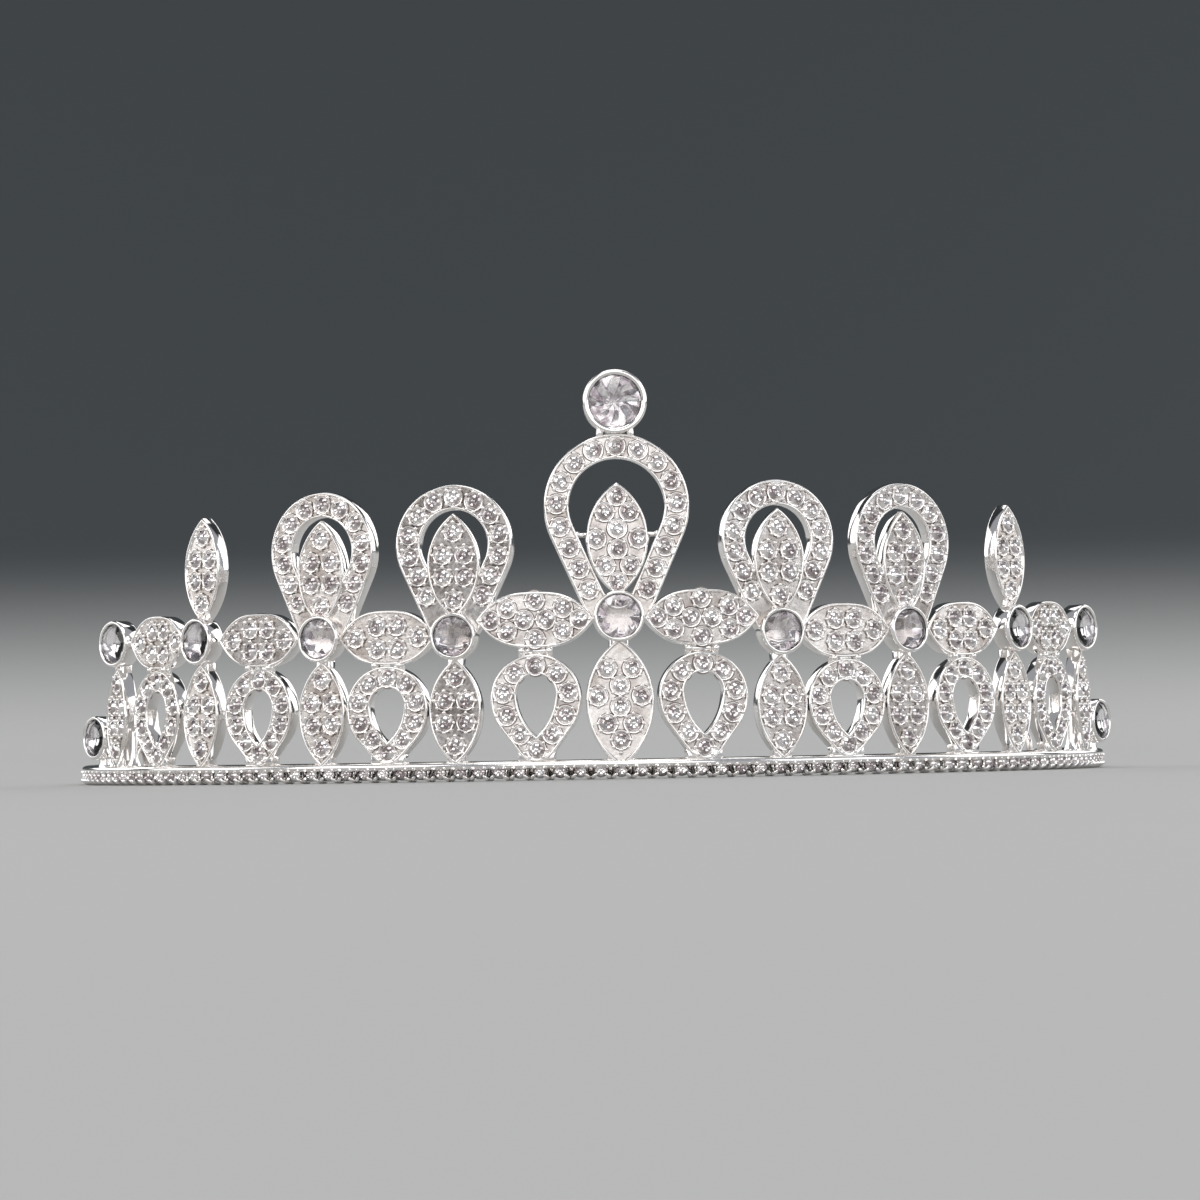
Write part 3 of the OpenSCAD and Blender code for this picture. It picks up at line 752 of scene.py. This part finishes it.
ties = Solid()
for side in (-1, 1):
    for i in range(4):
        low = (FIRST_DROP_V if i == 0 else SIDE_DROP_V) + (FIRST_DROP if i == 0 else SIDE_DROP)[0]
        high = FRONT_LEAF_V - FRONT_LEAF[1] / 2 if i == 0 else SIDE_V - SMALL_LEAF[1] / 2
        middle = (low + high) / 2
        place = crown(side * DROPS[i])
        for x in (-1.9, 1.9):
            path = [(x, low - 1.1, 1.1), (x, middle, 1.2), (x, high + 0.9, 1.1)]
            tube(ties, place, path, [0.55, 0.5, 0.55])
            bead(ties, place, x, middle, CAST_T + 0.05, 0.5)
        tube(ties, place, [(-1.4, middle, 0.9), (1.4, middle, 0.9)], [0.62, 0.62])
    last_leaf = crown(side * DROPS[3], SIDE_V)
    path = [(side * 6.7, 0, 0.9), (side * 8.2, 0, 0.75), (side * 9.6, 0, 0.7)]
    tube(ties, last_leaf, path, [0.75, 0.62, 0.8])
    bead(ties, last_leaf, side * 8.1, 0.1, 1.2, 0.6)
    tube(ties, on_cup(side * END_ANGLE, 0), [(0, -0.1, 0.8), (0, 0.5, 0.9), (0, 1.2, 0.9)], [1.1, 0.8, 0.9])
    place = crown(0, CENTRE_LEAF_V + 0.6)
    tube(ties, place, [(side * 4, 0, 1.2), (side * 5.4, 0, 1.2), (side * 6.8, 0, 1.2)], [0.36, 0.3, 0.36])
    bead(ties, place, side * 5.5, 0.1, 1.35, 0.42)
    tube(ties, crown(0), [(side * 2.1, 44.2, 1.1), (side * 1.9, 45.6, 1.2)], [0.62, 0.6])
    post = crown(side * POST_ANGLE)
    tube(ties, post, [(0, -0.1, 0.9), (0, 0.8, 0.9), (0, 2.2, 0.9), (0, 4.6, 0.9)], [1.0, 0.62, 0.45, 0.45])
ties.make("joining_metal", [SMOOTH], ["solder_ties"])

# ---------- Floor, light and camera ----------

# Section of the sweep, as (distance back, height): a long floor, a quarter bend and a wall
FLOOR_HALF, BEND_START, BEND_R, WALL_TOP = 9.0, 0.7, 0.8, 4.0
bend = [math.radians(a) for a in range(3, 91, 3)]
line = [(-FLOOR_HALF, 0.0), (BEND_START, 0.0)]
line += [(BEND_START + BEND_R * math.sin(a), BEND_R - BEND_R * math.cos(a)) for a in bend]
line += [(BEND_START + BEND_R, WALL_TOP)]
corners = [(x, y, z) for y, z in line for x in (-FLOOR_HALF, FLOOR_HALF)]
strips = [(2 * k, 2 * k + 1, 2 * k + 3, 2 * k + 2) for k in range(len(line) - 1)]
sweep_mesh = bpy.data.meshes.new("sweep")
sweep_mesh.from_pydata(corners, [], strips)
for polygon in sweep_mesh.polygons:
    polygon.use_smooth = True
sweep = bpy.data.objects.new("sweep", sweep_mesh)
bpy.context.scene.collection.objects.link(sweep)
# Painted shade: the sweep is pale grey on the floor and eases to near black within a few centimetres of
# height, up the bend and wall, in place of light falling off towards the back
paper, tree, s = shader("sweep_paper_painted_shade", Roughness=0.75)
where = tree.nodes.new("ShaderNodeTexCoord")
split = tree.nodes.new("ShaderNodeSeparateXYZ")
backdrop_shade_ramp = tree.nodes.new("ShaderNodeValToRGB")
tree.links.new(where.outputs["Object"], split.inputs["Vector"])
tree.links.new(split.outputs["Z"], backdrop_shade_ramp.inputs["Fac"])
backdrop_shade_ramp.color_ramp.elements[0].position = 0.0
backdrop_shade_ramp.color_ramp.elements[0].color = (0.5, 0.5, 0.49, 1)
backdrop_shade_ramp.color_ramp.interpolation = "EASE"
backdrop_shade_ramp.color_ramp.elements[1].position = 0.05
backdrop_shade_ramp.color_ramp.elements[1].color = (0.03, 0.037, 0.041, 1)
tree.links.new(backdrop_shade_ramp.outputs["Color"], s.inputs["Base Color"])
sweep_mesh.materials.append(paper)

# Strength of all the softboxes together, and the point they face
LIGHT_LEVEL, LIGHT_AIM = 1.1, Vector((0, 0, 0.02))


def softbox(name, azimuth, low, high, wide, glow, colour=(1, 1, 1), distance=2.2):
    """Softbox facing the tiara. Its azimuth from the front, its lowest and highest elevation and its width
    are in degrees, as seen from the tiara."""
    a, e = math.radians(azimuth), math.radians((low + high) / 2)
    place = Vector((math.sin(a) * math.cos(e), -math.cos(a) * math.cos(e), math.sin(e))) * distance
    light = bpy.data.lights.new(name, "AREA")
    light.shape = "RECTANGLE"
    light.size = 2 * distance * math.tan(math.radians(wide / 2))
    light.size_y = 2 * distance * math.tan(math.radians((high - low) / 2))
    light.energy = LIGHT_LEVEL * glow * math.pi * light.size * light.size_y
    light.color = colour
    lamp = bpy.data.objects.new(name, light)
    lamp.location = place
    lamp.rotation_euler = (LIGHT_AIM - place).to_track_quat("-Z", "Y").to_euler()
    bpy.context.scene.collection.objects.link(lamp)
    lamp.visible_camera = False


softbox("front", 0, 2, 30, 46, 1.2)
softbox("front_left", -58, 6, 42, 34, 1.7, (1, 0.975, 0.95))
softbox("front_right", 54, 4, 34, 30, 1.5, (0.97, 0.985, 1))
softbox("side_left", -104, 2, 36, 34, 1.4)
softbox("side_right", 102, 2, 40, 34, 1.4)
softbox("rim_left", -146, 6, 34, 30, 1.5, (1, 1, 1), 1.3)
softbox("rim_right", 144, 6, 34, 30, 1.5, (1, 1, 1), 1.3)
softbox("above", -8, 52, 80, 34, 2.3, (1, 0.99, 0.97), 1.6)
softbox("above_back", 172, 48, 70, 40, 1.6, (1, 1, 1), 1.6)

world = bpy.data.worlds.new("studio")
bpy.context.scene.world = world
world.use_nodes = True
world.node_tree.nodes["Background"].inputs["Color"].default_value = (0.9, 0.93, 1, 1)
world.node_tree.nodes["Background"].inputs["Strength"].default_value = 0.34

# The camera stands a little to the left, just above the floor, and is tipped by a degree
YAW, ROLL, FAR = math.radians(3.14), math.radians(1.0), 1.5
SIDE_SHIFT, EYE_HEIGHT, AIM_HEIGHT, LENS = 0.00146, 0.011, 0.0247, 311
ahead = Vector((math.sin(YAW), math.cos(YAW), 0))
across = Vector((math.cos(YAW), -math.sin(YAW), 0))
arc_centre = Vector((0, ARC_Y * MM, 0))
eye = arc_centre - FAR * ahead + SIDE_SHIFT * across + Vector((0, 0, EYE_HEIGHT))
aim = arc_centre - RAIL_R * MM * ahead + SIDE_SHIFT * across + Vector((0, 0, AIM_HEIGHT))
back = (eye - aim).normalized()
right = Vector((0, 0, 1)).cross(back).normalized()
up = back.cross(right)
tilted_right = right * math.cos(ROLL) - up * math.sin(ROLL)
tilted_up = up * math.cos(ROLL) + right * math.sin(ROLL)
camera = bpy.data.objects.new("camera", bpy.data.cameras.new("camera"))
facing = Matrix((tilted_right, tilted_up, back)).transposed()
camera.matrix_world = Matrix.Translation(eye) @ facing.to_4x4()
camera.data.sensor_width = 36
camera.data.lens = LENS
camera.data.clip_start, camera.data.clip_end = 0.05, 20
bpy.context.scene.collection.objects.link(camera)
bpy.context.scene.camera = camera
bpy.context.scene.view_settings.view_transform = "Standard"
